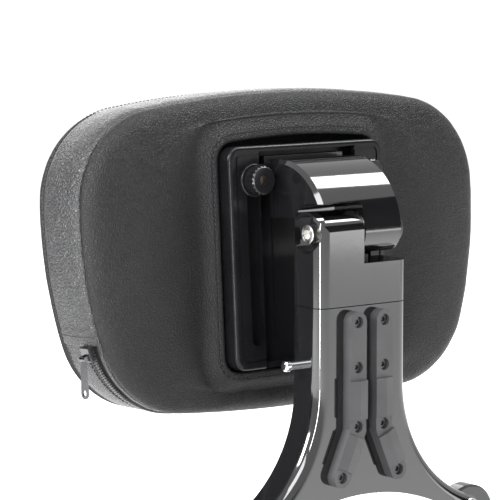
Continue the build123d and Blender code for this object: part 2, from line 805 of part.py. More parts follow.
for side, name in ((-1, "left"), (1, "right")):
    knob_base = Plane(
        origin=pivot + pad_forward * knob_depth + pad_up * knob_z + Vector(side * knob_x, 0, 0),
        x_dir=(1, 0, 0),
        z_dir=-pad_forward,
    )
    with BuildPart() as knob:
        with BuildSketch(knob_base):
            Circle(knob_flange_radius)
        extrude(amount=knob_flange_thick)
        fillet(faces().sort_by(Axis.Y)[0].edges(), knob_edge_round)
        with BuildSketch(knob_base.offset(knob_flange_thick)):
            Circle(knob_radius - knob_neck_depth)
        extrude(amount=knob_neck_length)
        with BuildSketch(knob_base.offset(knob_flange_thick + knob_neck_length)):
            Circle(knob_radius)
        extrude(amount=knob_length - knob_neck_length)
        chamfer(faces().sort_by(Axis.Y)[0].edges(), knob_end_chamfer)
        with BuildSketch(knob_base.offset(knob_flange_thick + knob_neck_length)):
            with PolarLocations(knob_radius, knob_flutes):
                Circle(knob_flute_radius)
        extrude(amount=knob_length, mode=Mode.SUBTRACT)
        with BuildSketch(knob_base):
            Circle(knob_bore_radius)
        extrude(amount=knob_flange_thick + knob_length, mode=Mode.SUBTRACT)
        with BuildSketch(knob_base):
            Circle(insert_radius + fit_gap)
        extrude(amount=insert_length + fit_gap, mode=Mode.SUBTRACT)
    save(knob.part, f"knob_{name}")
    with BuildPart() as insert:
        with BuildSketch(knob_base):
            Circle(insert_radius)
            Circle(clamp_stud_radius + fit_gap, mode=Mode.SUBTRACT)
        extrude(amount=insert_length)
    save(insert.part, f"knob_insert_{name}")

# ---------------------------------------------------------------- slide frame
inner_width = frame_width - 2 * frame_wall
inner_height = frame_height - 2 * frame_wall
with BuildPart() as slide_frame:
    with BuildSketch(frame_plane(back_seam_depth)):
        add(frame_outline())
    extrude(amount=back_seam_depth - frame_depth)
    fillet(faces().sort_by(pad_axis)[0].edges(), frame_edge_round)
    with BuildSketch(frame_plane(back_seam_depth)):
        add(frame_outline(-frame_wall))
    extrude(amount=back_seam_depth - frame_depth - frame_wall, mode=Mode.SUBTRACT)
    with BuildSketch(frame_plane(frame_depth + frame_wall)):
        with Locations((0, opening_top_z - frame_centre_z - frame_height / 2)):
            Rectangle(slot_opening_width, frame_height)
    extrude(amount=2 * frame_wall, mode=Mode.SUBTRACT)
    with BuildSketch(frame_plane(frame_depth + frame_wall)):
        for side in (-1, 1):
            slot_middle = (clamp_slot_top + clamp_slot_bottom) / 2 - frame_centre_z
            with Locations((side * knob_x, slot_middle)):
                SlotOverall(clamp_slot_top - clamp_slot_bottom, clamp_slot_width, rotation=90)
    extrude(amount=2 * frame_wall, mode=Mode.SUBTRACT)
    with BuildSketch(frame_plane(frame_depth)):
        add(frame_outline(-rim_width))
        add(frame_outline(-rim_width - rim_groove_width), mode=Mode.SUBTRACT)
    extrude(amount=-rim_groove_depth, mode=Mode.SUBTRACT)
save(slide_frame.part, "slide_frame")

with BuildPart() as channel_floor:
    with BuildSketch(frame_plane(back_seam_depth)):
        add(frame_outline(-frame_wall - fit_gap))
    extrude(amount=back_seam_depth - floor_depth)
    with BuildSketch(frame_plane(floor_depth)):
        with GridLocations(2 * floor_groove_x, 0, 2, 1):
            Rectangle(floor_groove_width, inner_height - 2 * floor_margin)
    extrude(amount=-floor_groove_depth, mode=Mode.SUBTRACT)
    with BuildSketch(frame_plane(back_seam_depth)):
        with GridLocations(2 * frame_screw_x, 2 * frame_screw_z, 2, 2):
            Circle(frame_screw_radius + fit_gap)
    extrude(amount=frame_screw_length - back_board_thick + cut_through, mode=Mode.SUBTRACT)
save(channel_floor.part, "channel_floor")

for side, name in ((-1, "left"), (1, "right")):
    strip_inner = wing_width / 2 + seat_gap
    strip_outer = inner_width / 2 - fit_gap
    with BuildPart() as guide_strip:
        with BuildSketch(frame_plane(floor_depth)):
            with Locations((side * (strip_inner + strip_outer) / 2, 0)):
                Rectangle(strip_outer - strip_inner, inner_height - 2 * frame_corner)
        extrude(amount=floor_depth - frame_depth - frame_wall)
    save(guide_strip.part, f"guide_strip_{name}")

with BuildPart() as frame_screws:
    with BuildSketch(frame_plane(board_front_depth)):
        with GridLocations(2 * frame_screw_x, 2 * frame_screw_z, 2, 2):
            Circle(frame_screw_radius)
    extrude(amount=frame_screw_length)
    with BuildSketch(frame_plane(board_front_depth)):
        with GridLocations(2 * frame_screw_x, 2 * frame_screw_z, 2, 2):
            Circle(frame_screw_head_radius)
    extrude(amount=-frame_screw_head_height)
save(frame_screws.part, "frame_screws")

# ---------------------------------------------------------------- pad
def crowned(depth, end_depth, grow, inset):
    """Solid between the pad's outline at one depth and a smaller one at another."""
    with BuildPart() as solid:
        with BuildSketch(pad_plane(depth)):
            add(pad_outline(grow))
        with BuildSketch(pad_plane(end_depth)):
            add(pad_outline(grow - inset))
        loft(ruled=True)
    return solid.part


with BuildPart() as back_board:
    with BuildSketch(pad_plane(back_seam_depth)):
        add(pad_outline(-cover_thick))
    extrude(amount=-back_board_thick)
    with BuildSketch(frame_plane(back_seam_depth)):
        with GridLocations(2 * frame_screw_x, 2 * frame_screw_z, 2, 2):
            Circle(frame_screw_radius + fit_gap)
    extrude(amount=-back_board_thick, mode=Mode.SUBTRACT)
save(back_board.part, "back_board")

with BuildPart() as pad_foam:
    with BuildSketch(pad_plane(board_front_depth)):
        add(pad_outline(-cover_thick))
    extrude(amount=-(boxing_depth - back_board_thick))
    add(crowned(front_seam_depth, crown_depth - cover_thick, -cover_thick, front_inset))
    with BuildSketch(frame_plane(board_front_depth)):
        with GridLocations(2 * frame_screw_x, 2 * frame_screw_z, 2, 2):
            Circle(frame_screw_head_radius + seat_gap)
    extrude(amount=-frame_screw_head_height - seat_gap, mode=Mode.SUBTRACT)
save(pad_foam.part, "pad_foam")

with BuildPart() as rear_padding:
    add(crowned(back_seam_depth, rear_panel_depth + cover_thick, -cover_thick, puff_inset))
    with BuildSketch(frame_plane(back_seam_depth)):
        add(frame_outline(pad_opening_gap))
    extrude(amount=rear_puff, mode=Mode.SUBTRACT)
save(rear_padding.part, "rear_padding")

with BuildPart() as cover_back:
    add(crowned(back_seam_depth, rear_panel_depth, 0, puff_inset))
    add(
        crowned(back_seam_depth, rear_panel_depth + cover_thick, -cover_thick, puff_inset),
        mode=Mode.SUBTRACT,
    )
    with BuildSketch(frame_plane(back_seam_depth)):
        add(frame_outline(pad_opening_gap))
    extrude(amount=rear_puff, mode=Mode.SUBTRACT)
save(cover_back.part, "cover_back")

with BuildPart() as cover_band:
    with BuildSketch(pad_plane(back_seam_depth)):
        add(pad_outline())
    extrude(amount=-boxing_depth)
    with BuildSketch(pad_plane(back_seam_depth)):
        add(pad_outline(-cover_thick))
    extrude(amount=-boxing_depth, mode=Mode.SUBTRACT)
save(cover_band.part, "cover_band")

with BuildPart() as cover_front:
    add(crowned(front_seam_depth, crown_depth, 0, front_inset))
    add(
        crowned(front_seam_depth, crown_depth - cover_thick, -cover_thick, front_inset),
        mode=Mode.SUBTRACT,
    )
save(cover_front.part, "cover_front")

# ---------------------------------------------------------------- zipper
with BuildSketch() as pad_shape:
    add(pad_outline(zip_tape_thick + zip_teeth_thick))
chord = Edge.make_line((-pad_width, zip_start_z), (0, zip_start_z))
upper_z = zip_start_z + zip_teeth_width
upper_chord = Edge.make_line((-pad_width, upper_z), (0, upper_z))
outline_face = pad_shape.sketch.faces()[0]
slider_at = outline_face.intersect(chord).vertices().sort_by(Axis.X)[0]
slider_above = outline_face.intersect(upper_chord).vertices().sort_by(Axis.X)[0]
slider_lean = atan2(slider_at.X - slider_above.X, zip_teeth_width)

zip_layers = (
    ("zipper_tape", zip_tape_width, 0.0, zip_tape_thick),
    ("zipper_teeth", zip_teeth_width, zip_tape_thick, zip_tape_thick + zip_teeth_thick),
)
for name, width, inner, outer in zip_layers:
    with BuildPart() as zip_layer:
        with BuildSketch(pad_plane(zip_depth - width / 2)):
            add(pad_outline(outer))
            add(pad_outline(inner), mode=Mode.SUBTRACT)
            # only the lower boxing has the zipper
            with Locations((0, zip_start_z + pad_height)):
                Rectangle(2 * pad_width, 2 * pad_height, mode=Mode.SUBTRACT)
        extrude(amount=-width)
    save(zip_layer.part, name)

# along the zipper x is outwards from the boxing, y runs down the chain, z faces the rear
slider_origin = pad_plane(zip_depth).from_local_coords(Vector(slider_at.X, slider_at.Y, 0))
outwards = Vector(-cos(slider_lean), 0, 0) - pad_up * sin(slider_lean)
slider_plane = Plane(origin=slider_origin, x_dir=outwards, z_dir=-pad_forward)
slider_face_x = seat_gap + slider_thick
pull_pin_x = slider_face_x + seat_gap + pull_eye_radius
pull_fork = pull_eye_width + 2 * seat_gap
with BuildPart() as zipper_slider:
    with BuildSketch(slider_plane):
        with Locations((seat_gap + slider_thick / 2, slider_length / 2)):
            RectangleRounded(slider_thick, slider_length, slider_corner)
    extrude(amount=slider_width / 2, both=True)
    # two cheeks carry the pull's pin
    with BuildSketch(slider_plane):
        with Locations((pull_pin_x, pull_pin_drop)):
            Circle(pull_eye_radius)
        with Locations(((slider_thick + pull_pin_x) / 2, pull_pin_drop)):
            Rectangle(pull_pin_x - slider_thick, 2 * pull_eye_radius)
    extrude(amount=pull_fork / 2 + pull_cheek_thick, both=True)
    with BuildSketch(slider_plane):
        with Locations((slider_face_x, pull_pin_drop)):
            Rectangle(
                pull_pin_x, slider_length, align=(Align.MIN, Align.CENTER)
            )
    extrude(amount=pull_fork / 2, both=True, mode=Mode.SUBTRACT)
    with BuildSketch(slider_plane):
        with Locations((pull_pin_x, pull_pin_drop)):
            Circle(pull_pin_radius)
    extrude(amount=pull_fork / 2 + pull_cheek_thick, both=True)
save(zipper_slider.part, "zipper_slider")

# the pull hangs straight down from its pin; y runs down the tab
pull_centre = slider_plane.from_local_coords(Vector(pull_pin_x, pull_pin_drop, 0))
pull_face = Plane(origin=pull_centre, x_dir=pad_forward, z_dir=(-1, 0, 0))
pull_side = Plane(origin=pull_centre, x_dir=(-1, 0, 0), z_dir=-pad_forward)
with BuildPart() as zipper_pull:
    with BuildSketch(pull_face):
        with Locations((0, pull_length / 4)):
            Rectangle(pull_eye_width, pull_length / 2)
        with BuildLine():
            Polyline(
                (-pull_top_half, pull_neck),
                (pull_top_half, pull_neck),
                (pull_width / 2, pull_length - pull_width / 2),
                (-pull_width / 2, pull_length - pull_width / 2),
                close=True,
            )
        make_face()
        with Locations((0, pull_length - pull_width / 2)):
            Circle(pull_width / 2)
            Circle(pull_hole_radius, mode=Mode.SUBTRACT)
    extrude(amount=pull_thick / 2, both=True)
    with BuildSketch(pull_side):
        Circle(pull_eye_radius)
    extrude(amount=pull_eye_width / 2, both=True)
    with BuildSketch(pull_side):
        Circle(pull_pin_radius + fit_gap)
    extrude(amount=pull_eye_width, both=True, mode=Mode.SUBTRACT)
save(zipper_pull.part, "zipper_pull")
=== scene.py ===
"""Looks of the adjustable backrest: leather pad with its zipper, glossy bracket, studio."""

import json
from math import atan2, cos, pi, sin

import bmesh
import bpy
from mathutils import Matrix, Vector, noise
from mathutils.bvhtree import BVHTree


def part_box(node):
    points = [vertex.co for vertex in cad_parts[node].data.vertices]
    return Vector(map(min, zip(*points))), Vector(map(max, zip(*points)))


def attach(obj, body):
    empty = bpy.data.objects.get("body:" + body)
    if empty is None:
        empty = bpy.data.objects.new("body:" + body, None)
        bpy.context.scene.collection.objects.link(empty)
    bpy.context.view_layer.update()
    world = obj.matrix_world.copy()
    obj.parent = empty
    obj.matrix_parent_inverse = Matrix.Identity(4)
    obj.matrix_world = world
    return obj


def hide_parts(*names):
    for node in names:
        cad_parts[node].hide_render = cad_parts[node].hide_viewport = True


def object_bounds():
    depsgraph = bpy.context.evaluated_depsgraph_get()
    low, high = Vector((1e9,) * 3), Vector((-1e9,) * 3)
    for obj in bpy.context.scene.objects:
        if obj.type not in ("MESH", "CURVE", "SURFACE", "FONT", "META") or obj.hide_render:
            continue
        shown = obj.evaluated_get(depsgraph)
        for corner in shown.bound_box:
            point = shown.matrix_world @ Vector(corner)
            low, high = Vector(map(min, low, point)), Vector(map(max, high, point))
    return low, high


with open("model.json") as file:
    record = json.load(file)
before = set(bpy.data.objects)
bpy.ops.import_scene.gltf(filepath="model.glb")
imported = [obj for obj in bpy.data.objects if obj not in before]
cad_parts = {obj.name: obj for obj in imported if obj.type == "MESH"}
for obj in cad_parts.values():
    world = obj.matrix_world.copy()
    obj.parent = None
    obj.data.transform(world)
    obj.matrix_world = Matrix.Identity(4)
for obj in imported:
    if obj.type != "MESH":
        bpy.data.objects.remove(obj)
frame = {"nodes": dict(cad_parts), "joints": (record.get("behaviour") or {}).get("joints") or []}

MM = 0.001
cad_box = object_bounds()
nodes = frame["nodes"]
joints = {joint["name"]: joint for joint in frame["joints"]}

# ---------------------------------------------------------------- the pad's own frame
pivot = Vector(joints["tilt"]["pos_m"])
right = Vector((1, 0, 0))
pad_up = Vector(joints["height"]["axis"]).normalized()
pad_forward = pad_up.cross(right)


def to_pad(point):
    """(x, depth ahead of the hinge axis, height) of a point in the pad's frame."""
    rel = Vector(point) - pivot
    return Vector((rel.dot(right), rel.dot(pad_forward), rel.dot(pad_up)))


def from_pad(x, depth, height):
    return pivot + right * x + pad_forward * depth + pad_up * height


def pad_box(node):
    """A CAD node's box in the pad's frame."""
    points = [to_pad(v.co) for v in nodes[node].data.vertices]
    low = Vector([min(p[i] for p in points) for i in range(3)])
    high = Vector([max(p[i] for p in points) for i in range(3)])
    return low, high


band_low, band_high = pad_box("cover_band")
frame_low, frame_high = pad_box("slide_frame")
tape_high = pad_box("zipper_tape")[1]
teeth_low, teeth_high = pad_box("zipper_teeth")
back_seam = band_low.y
front_seam = band_high.y
rear_panel = pad_box("cover_back")[0].y
front_crown = pad_box("cover_front")[1].y
zip_depth = (teeth_low.y + teeth_high.y) / 2
zip_top = tape_high.z
leather_thick = 1.4 * MM


# ---------------------------------------------------------------- outlines
def cad_ring(node, depth, centre_z, count=1440):
    """Outline of a CAD node at a depth, found by rays from all round towards its middle."""
    mesh = nodes[node].data
    tree = BVHTree.FromPolygons(
        [v.co for v in mesh.vertices], [p.vertices for p in mesh.polygons]
    )
    reach = 0.5
    ring = []
    for i in range(count):
        angle = 2 * pi * i / count - pi / 2
        out = right * cos(angle) + pad_up * sin(angle)
        hit = tree.ray_cast(from_pad(0, depth, centre_z) + out * reach, -out)[0]
        local = to_pad(hit)
        ring.append(Vector((local.x, local.z)))
    return ring


class Outline:
    """A closed outline that is asked by its length from the bottom, anticlockwise from behind."""

    def __init__(self, points):
        self.points = points
        self.at = [0.0]
        for a, b in zip(points, points[1:] + points[:1]):
            self.at.append(self.at[-1] + (b - a).length)
        self.length = self.at[-1]

    def point(self, s):
        s %= self.length
        low, high = 0, len(self.points)
        while high - low > 1:
            middle = (low + high) // 2
            if self.at[middle] <= s:
                low = middle
            else:
                high = middle
        span = self.at[low + 1] - self.at[low]
        share = (s - self.at[low]) / span if span else 0
        after = self.points[(low + 1) % len(self.points)]
        return self.points[low].lerp(after, share)

    def normal(self, s, reach=2.5 * MM):
        """Outward normal, smoothed over a short stretch."""
        along = self.point(s + reach) - self.point(s - reach)
        return Vector((along.y, -along.x)).normalized()

    def spot(self, s, inset, depth):
        """Point in the row frame, inset from the outline."""
        flat = self.point(s) - self.normal(s) * inset
        return from_pad(flat.x, depth, flat.y)

    def length_at_height(self, height, side):
        """Length along the outline where it passes a height, on the left (-1) or right (1)."""
        steps = 2000
        spans = range(steps // 2) if side > 0 else range(steps, steps // 2, -1)
        for i in spans:
            if self.point(self.length * i / steps).y >= height:
                return self.length * i / steps
        return 0.0


pad_centre_z = (band_low.z + band_high.z) / 2
frame_centre_z = (frame_low.z + frame_high.z) / 2
band_middle = (back_seam + front_seam) / 2
outline = Outline(cad_ring("cover_band", band_middle, pad_centre_z))

opening_gap = 1.2 * MM
opening_arch = 3.5 * MM       # how far the leather stands off the frame's top edge
frame_half_width = (frame_high.x - frame_low.x) / 2


def opening_points():
    """The leather's opening: the frame's outline with a gap, arched over its top edge."""
    frame_points = cad_ring("slide_frame", back_seam - 8 * MM, frame_centre_z, 720)
    ring = Outline(frame_points)
    points = []
    for i in range(len(frame_points)):
        s = ring.length * i / len(frame_points)
        point = ring.point(s) + ring.normal(s) * opening_gap
        if point.y > frame_centre_z:
            share = min(1.0, abs(point.x) / (frame_half_width + opening_gap))
            rise = (point.y - frame_centre_z) / (frame_high.z - frame_centre_z)
            point.y += opening_arch * (1 - share ** 2) * max(0.0, rise) ** 6
        points.append(point)
    return points


opening = Outline(opening_points())
zip_left = outline.length_at_height(zip_top, -1)
zip_right = outline.length_at_height(zip_top, 1)


# ---------------------------------------------------------------- mesh helpers
def add_piece(name, verts, faces, material, body, smooth=True):
    mesh = bpy.data.meshes.new(name)
    mesh.from_pydata([tuple(v) for v in verts], [], faces)
    mesh.validate()
    for polygon in mesh.polygons:
        polygon.use_smooth = smooth
    obj = bpy.data.objects.new(name, mesh)
    bpy.context.scene.collection.objects.link(obj)
    bm = bmesh.new()
    bm.from_mesh(mesh)
    bmesh.ops.recalc_face_normals(bm, faces=bm.faces)
    bm.to_mesh(mesh)
    bm.free()
    mesh.materials.append(material)
    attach(obj, body)
    return obj


def subdivide(obj, levels=1):
    """Smooths a piece with a subdivision surface, then closes any end that is still open."""
    modifier = obj.modifiers.new("subdivision", "SUBSURF")
    modifier.levels = levels
    graph = bpy.context.evaluated_depsgraph_get()
    smooth = bpy.data.meshes.new_from_object(obj.evaluated_get(graph))
    obj.modifiers.clear()
    obj.data = smooth
    bm = bmesh.new()
    bm.from_mesh(smooth)
    rims = [edge for edge in bm.edges if edge.is_boundary]
    bmesh.ops.holes_fill(bm, edges=rims, sides=0)
    bmesh.ops.recalc_face_normals(bm, faces=bm.faces)
    bm.to_mesh(smooth)
    bm.free()
    for polygon in smooth.polygons:
        polygon.use_smooth = True
    return obj


def grid_faces(columns, rows, closed_columns, closed_rows=False):
    """Quads of a grid whose vertices run row by row within each column."""
    faces = []
    for i in range(columns if closed_columns else columns - 1):
        for j in range(rows if closed_rows else rows - 1):
            a = i * rows + j
            b = i * rows + (j + 1) % rows
            c = ((i + 1) % columns) * rows + (j + 1) % rows
            d = ((i + 1) % columns) * rows + j
            faces.append((a, b, c, d))
    return faces


def sweep(path, start, end, profile, pitch, reshape=None):
    """A closed solid with a profile of (inset, depth) carried along part of an outline."""
    count = max(2, int((end - start) / pitch) + 1)
    verts = []
    for i in range(count):
        s = start + (end - start) * i / (count - 1)
        for inset, depth in profile:
            if reshape:
                inset, depth = reshape(s, inset, depth)
            verts.append(path.spot(s, inset, depth))
    rows = len(profile)
    faces = grid_faces(count, rows, False, True)
    faces.append(tuple(range(rows)))
    faces.append(tuple(reversed(range((count - 1) * rows, count * rows))))
    return verts, faces


def stitch_row(name, spots, material, body, length, radius):
    """Sewn thread: a short rounded bar at each (place, direction along, outward)."""
    verts, faces = [], []
    sides = 6
    profile = ((-0.5, 0.0), (-0.46, 0.62), (-0.3, 1.0), (0.3, 1.0), (0.46, 0.62), (0.5, 0.0))
    for place, along, out in spots:
        along = along.normalized()
        side = along.cross(out).normalized()
        up = side.cross(along)
        first = len(verts)
        for t, swell in profile[1:-1]:
            sink = radius * 0.9 * (2 * t) ** 2
            for k in range(sides):
                angle = 2 * pi * k / sides
                ring = side * cos(angle) + up * sin(angle)
                verts.append(place + along * (t * length) + ring * (radius * swell) - up * sink)
        for j in range(3):
            for k in range(sides):
                a = first + j * sides + k
                b = first + j * sides + (k + 1) % sides
                faces.append((a, b, b + sides, a + sides))
        faces.append(tuple(first + k for k in reversed(range(sides))))
        faces.append(tuple(first + 3 * sides + k for k in range(sides)))
    return add_piece(name, verts, faces, material, body)


# ---------------------------------------------------------------- materials
def new_material(name):
    material = bpy.data.materials.new(name)
    material.use_nodes = True
    tree = material.node_tree
    shader = tree.nodes["Principled BSDF"]
    coords = tree.nodes.new("ShaderNodeTexCoord").outputs["Object"]
    return material, tree, shader, coords


def noise_node(tree, coords, scale, detail=3.0, rough=0.55, stretch=None):
    if stretch:
        mapping = tree.nodes.new("ShaderNodeMapping")
        mapping.inputs["Scale"].default_value = stretch
        tree.links.new(coords, mapping.inputs["Vector"])
        coords = mapping.outputs["Vector"]
    node = tree.nodes.new("ShaderNodeTexNoise")
    node.inputs["Scale"].default_value = scale
    node.inputs["Detail"].default_value = detail
    node.inputs["Roughness"].default_value = rough
    tree.links.new(coords, node.inputs["Vector"])
    return node.outputs["Fac"]


def voronoi_node(tree, coords, scale, feature="DISTANCE_TO_EDGE"):
    node = tree.nodes.new("ShaderNodeTexVoronoi")
    node.feature = feature
    node.inputs["Scale"].default_value = scale
    tree.links.new(coords, node.inputs["Vector"])
    return node.outputs["Distance"]


def ramp(tree, value, low, high, out_low, out_high):
    node = tree.nodes.new("ShaderNodeMapRange")
    node.inputs["From Min"].default_value = low
    node.inputs["From Max"].default_value = high
    node.inputs["To Min"].default_value = out_low
    node.inputs["To Max"].default_value = out_high
    tree.links.new(value, node.inputs["Value"])
    return node.outputs["Result"]


def combine(tree, a, b, operation="ADD", share=1.0):
    """a operation (b * share)."""
    scaled = tree.nodes.new("ShaderNodeMath")
    scaled.operation = "MULTIPLY"
    scaled.inputs[1].default_value = share
    tree.links.new(b, scaled.inputs[0])
    node = tree.nodes.new("ShaderNodeMath")
    node.operation = operation
    tree.links.new(a, node.inputs[0])
    tree.links.new(scaled.outputs[0], node.inputs[1])
    return node.outputs[0]


def colour_mix(tree, shader, value, dark, light):
    node = tree.nodes.new("ShaderNodeMix")
    node.data_type = "RGBA"
    node.inputs["A"].default_value = (*dark, 1)
    node.inputs["B"].default_value = (*light, 1)
    tree.links.new(value, node.inputs["Factor"])
    tree.links.new(node.outputs["Result"], shader.inputs["Base Color"])


def bump(tree, shader, height, distance, strength=1.0):
    node = tree.nodes.new("ShaderNodeBump")
    node.inputs["Distance"].default_value = distance
    node.inputs["Strength"].default_value = strength
    tree.links.new(height, node.inputs["Height"])
    tree.links.new(node.outputs["Normal"], shader.inputs["Normal"])


def leather_material(name, grain, depth, dark, light, rough, spec):
    """Pebbled leather: cells with soft edges, fine pores and a few broad creases."""
    material, tree, shader, coords = new_material(name)
    warp = tree.nodes.new("ShaderNodeTexNoise")
    warp.inputs["Scale"].default_value = grain * 0.35
    tree.links.new(coords, warp.inputs["Vector"])
    shift = tree.nodes.new("ShaderNodeVectorMath")
    shift.operation = "MULTIPLY_ADD"
    shift.inputs[1].default_value = (1.6 / grain,) * 3
    tree.links.new(warp.outputs["Color"], shift.inputs[0])
    tree.links.new(coords, shift.inputs[2])
    bent = shift.outputs["Vector"]
    cells = ramp(tree, voronoi_node(tree, bent, grain), 0.0, 0.32, 0.0, 1.0)
    small = voronoi_node(tree, bent, grain * 2.6)
    pores = noise_node(tree, coords, grain * 4.5, 2.0)
    creases = noise_node(tree, coords, grain * 0.16, 4.0, 0.6)
    height = combine(tree, cells, small, "ADD", 0.55)
    height = combine(tree, height, pores, "ADD", 0.35)
    height = combine(tree, height, creases, "ADD", 1.1)
    bump(tree, shader, height, depth)
    patches = noise_node(tree, coords, 35.0, 3.0)
    tone = combine(tree, cells, patches, "ADD", 0.8)
    colour_mix(tree, shader, ramp(tree, tone, 0.2, 1.6, 0.0, 1.0), dark, light)
    wear = combine(tree, cells, patches, "ADD", 0.9)
    rough_map = ramp(tree, wear, 0.2, 1.6, rough + 0.12, rough - 0.05)
    tree.links.new(rough_map, shader.inputs["Roughness"])
    shader.inputs["Specular IOR Level"].default_value = spec
    return material


def gloss_paint_material(name, base, rough, ior):
    """Gloss paint: deep colour, slight orange peel, faint haze and dust."""
    material, tree, shader, coords = new_material(name)
    haze = noise_node(tree, coords, 28.0, 4.0)
    fine = noise_node(tree, coords, 900.0, 2.0)
    colour_mix(tree, shader, haze, base, tuple(c * 1.5 + 0.001 for c in base))
    speckle = combine(tree, haze, fine, "ADD", 0.3)
    tree.links.new(ramp(tree, speckle, 0.3, 0.9, rough, rough + 0.035), shader.inputs["Roughness"])
    peel = noise_node(tree, coords, 210.0, 2.0)
    bump(tree, shader, peel, 0.00002, 0.5)
    shader.inputs["IOR"].default_value = ior
    return material


def moulded_material(name, dark, light, rough, grain=1500.0, depth=0.00003, spec=0.5):
    """Moulded plastic or powder coat: fine stipple, handled patches, uneven sheen."""
    material, tree, shader, coords = new_material(name)
    patches = noise_node(tree, coords, 45.0, 4.0)
    stipple = noise_node(tree, coords, grain, 2.0)
    tone = combine(tree, patches, stipple, "ADD", 0.4)
    colour_mix(tree, shader, ramp(tree, tone, 0.4, 1.0, 0.0, 1.0), dark, light)
    tree.links.new(ramp(tree, tone, 0.4, 1.0, rough + 0.06, rough - 0.05), shader.inputs["Roughness"])
    bump(tree, shader, stipple, depth)
    shader.inputs["Specular IOR Level"].default_value = spec
    return material


def metal_material(name, colour, rough, grain=(1, 1, 1), scale=700.0, depth=0.00001):
    """Plated or turned metal: fine marks along the grain and faint tarnish."""
    material, tree, shader, coords = new_material(name)
    marks = noise_node(tree, coords, scale, 3.0, stretch=grain)
    tarnish = noise_node(tree, coords, 60.0, 4.0)
    tone = combine(tree, tarnish, marks, "ADD", 0.3)
    dark = tuple(c * 0.82 for c in colour)
    colour_mix(tree, shader, ramp(tree, tone, 0.35, 0.95, 0.0, 1.0), dark, colour)
    tree.links.new(ramp(tree, tone, 0.35, 0.95, rough + 0.08, rough), shader.inputs["Roughness"])
    bump(tree, shader, marks, depth)
    shader.inputs["Metallic"].default_value = 1.0
    return material


def turned_material(name, colour, rough, centre, axis):
    """Turned steel face with rings about an axis."""
    material, tree, shader, coords = new_material(name)
    offset = tree.nodes.new("ShaderNodeVectorMath")
    offset.operation = "SUBTRACT"
    offset.inputs[1].default_value = centre
    tree.links.new(coords, offset.inputs[0])
    cross = tree.nodes.new("ShaderNodeVectorMath")
    cross.operation = "CROSS_PRODUCT"
    cross.inputs[1].default_value = axis
    tree.links.new(offset.outputs["Vector"], cross.inputs[0])
    length = tree.nodes.new("ShaderNodeVectorMath")
    length.operation = "LENGTH"
    tree.links.new(cross.outputs["Vector"], length.inputs[0])
    rings = tree.nodes.new("ShaderNodeMath")
    rings.operation = "SINE"
    turns = tree.nodes.new("ShaderNodeMath")
    turns.operation = "MULTIPLY"
    turns.inputs[1].default_value = 2 * pi / (0.55 * MM)
    tree.links.new(length.outputs["Value"], turns.inputs[0])
    tree.links.new(turns.outputs[0], rings.inputs[0])
    tarnish = noise_node(tree, coords, 300.0, 3.0)
    tone = combine(tree, tarnish, rings.outputs[0], "ADD", 0.12)
    colour_mix(tree, shader, ramp(tree, tone, 0.3, 0.8, 0.0, 1.0), tuple(c * 0.7 for c in colour), colour)
    tree.links.new(ramp(tree, tone, 0.3, 0.8, rough + 0.1, rough), shader.inputs["Roughness"])
    bump(tree, shader, rings.outputs[0], 0.00003)
    shader.inputs["Metallic"].default_value = 1.0
    return material


def woven_material(name, dark, light, pitch):
    """Woven tape: two crossed sets of ribs."""
    material, tree, shader, coords = new_material(name)
    heights = []
    for direction in ((1.0, 1.0, 1.0), (1.0, -1.0, 1.0)):
        mapping = tree.nodes.new("ShaderNodeMapping")
        mapping.inputs["Scale"].default_value = direction
        tree.links.new(coords, mapping.inputs["Vector"])
        wave = tree.nodes.new("ShaderNodeTexWave")
        wave.bands_direction = "DIAGONAL"
        wave.inputs["Scale"].default_value = 0.314 / pitch
        wave.inputs["Distortion"].default_value = 0.6
        tree.links.new(mapping.outputs["Vector"], wave.inputs["Vector"])
        heights.append(wave.outputs["Fac"])
    weave = combine(tree, heights[0], heights[1], "MULTIPLY", 1.0)
    fuzz = noise_node(tree, coords, 2500.0, 2.0)
    height = combine(tree, weave, fuzz, "ADD", 0.3)
    bump(tree, shader, height, 0.00015)
    colour_mix(tree, shader, ramp(tree, height, 0.0, 1.1, 0.0, 1.0), dark, light)
    shader.inputs["Roughness"].default_value = 0.85
    shader.inputs["Specular IOR Level"].default_value = 0.2
    return material


leather = leather_material(
    "leather_panel", 560, 0.00026, (0.005, 0.005, 0.0055), (0.014, 0.014, 0.015), 0.4, 0.24
)
leather_band = leather_material(
    "leather_boxing", 430, 0.00036, (0.012, 0.012, 0.013), (0.03, 0.03, 0.031), 0.32, 0.5
)
thread = moulded_material("thread", (0.006, 0.006, 0.006), (0.03, 0.03, 0.03), 0.5, 3000.0, 0.00005)
gloss_black = gloss_paint_material("gloss_black", (0.004, 0.004, 0.0045), 0.05, 1.75)
hub_gloss = gloss_paint_material("hub_gloss", (0.006, 0.006, 0.007), 0.09, 1.6)
rail_black = moulded_material("rail_coat", (0.028, 0.028, 0.03), (0.05, 0.05, 0.052), 0.5)
frame_black = moulded_material(
    "frame_black", (0.003, 0.003, 0.0035), (0.008, 0.008, 0.009), 0.25, 2200.0, 0.00001, 0.2
)
channel_black = moulded_material(
    "channel_black", (0.003, 0.003, 0.0035), (0.007, 0.007, 0.008), 0.3, spec=0.15
)
guide_black = moulded_material(
    "guide_black", (0.008, 0.008, 0.009), (0.015, 0.015, 0.016), 0.35, spec=0.25
)
knob_black = moulded_material(
    "knob_black", (0.004, 0.004, 0.0045), (0.01, 0.01, 0.011), 0.2, 2600.0, 0.00001, 0.3
)
cap_black = moulded_material("cap_black", (0.01, 0.01, 0.011), (0.02, 0.02, 0.022), 0.3)
rubber = moulded_material("rubber", (0.008, 0.008, 0.008), (0.02, 0.02, 0.02), 0.7)
chrome = metal_material("chrome", (0.82, 0.83, 0.85), 0.06)
steel = metal_material("zinc_steel", (0.56, 0.56, 0.54), 0.26)
dark_steel = metal_material("dark_steel", (0.09, 0.09, 0.095), 0.34)
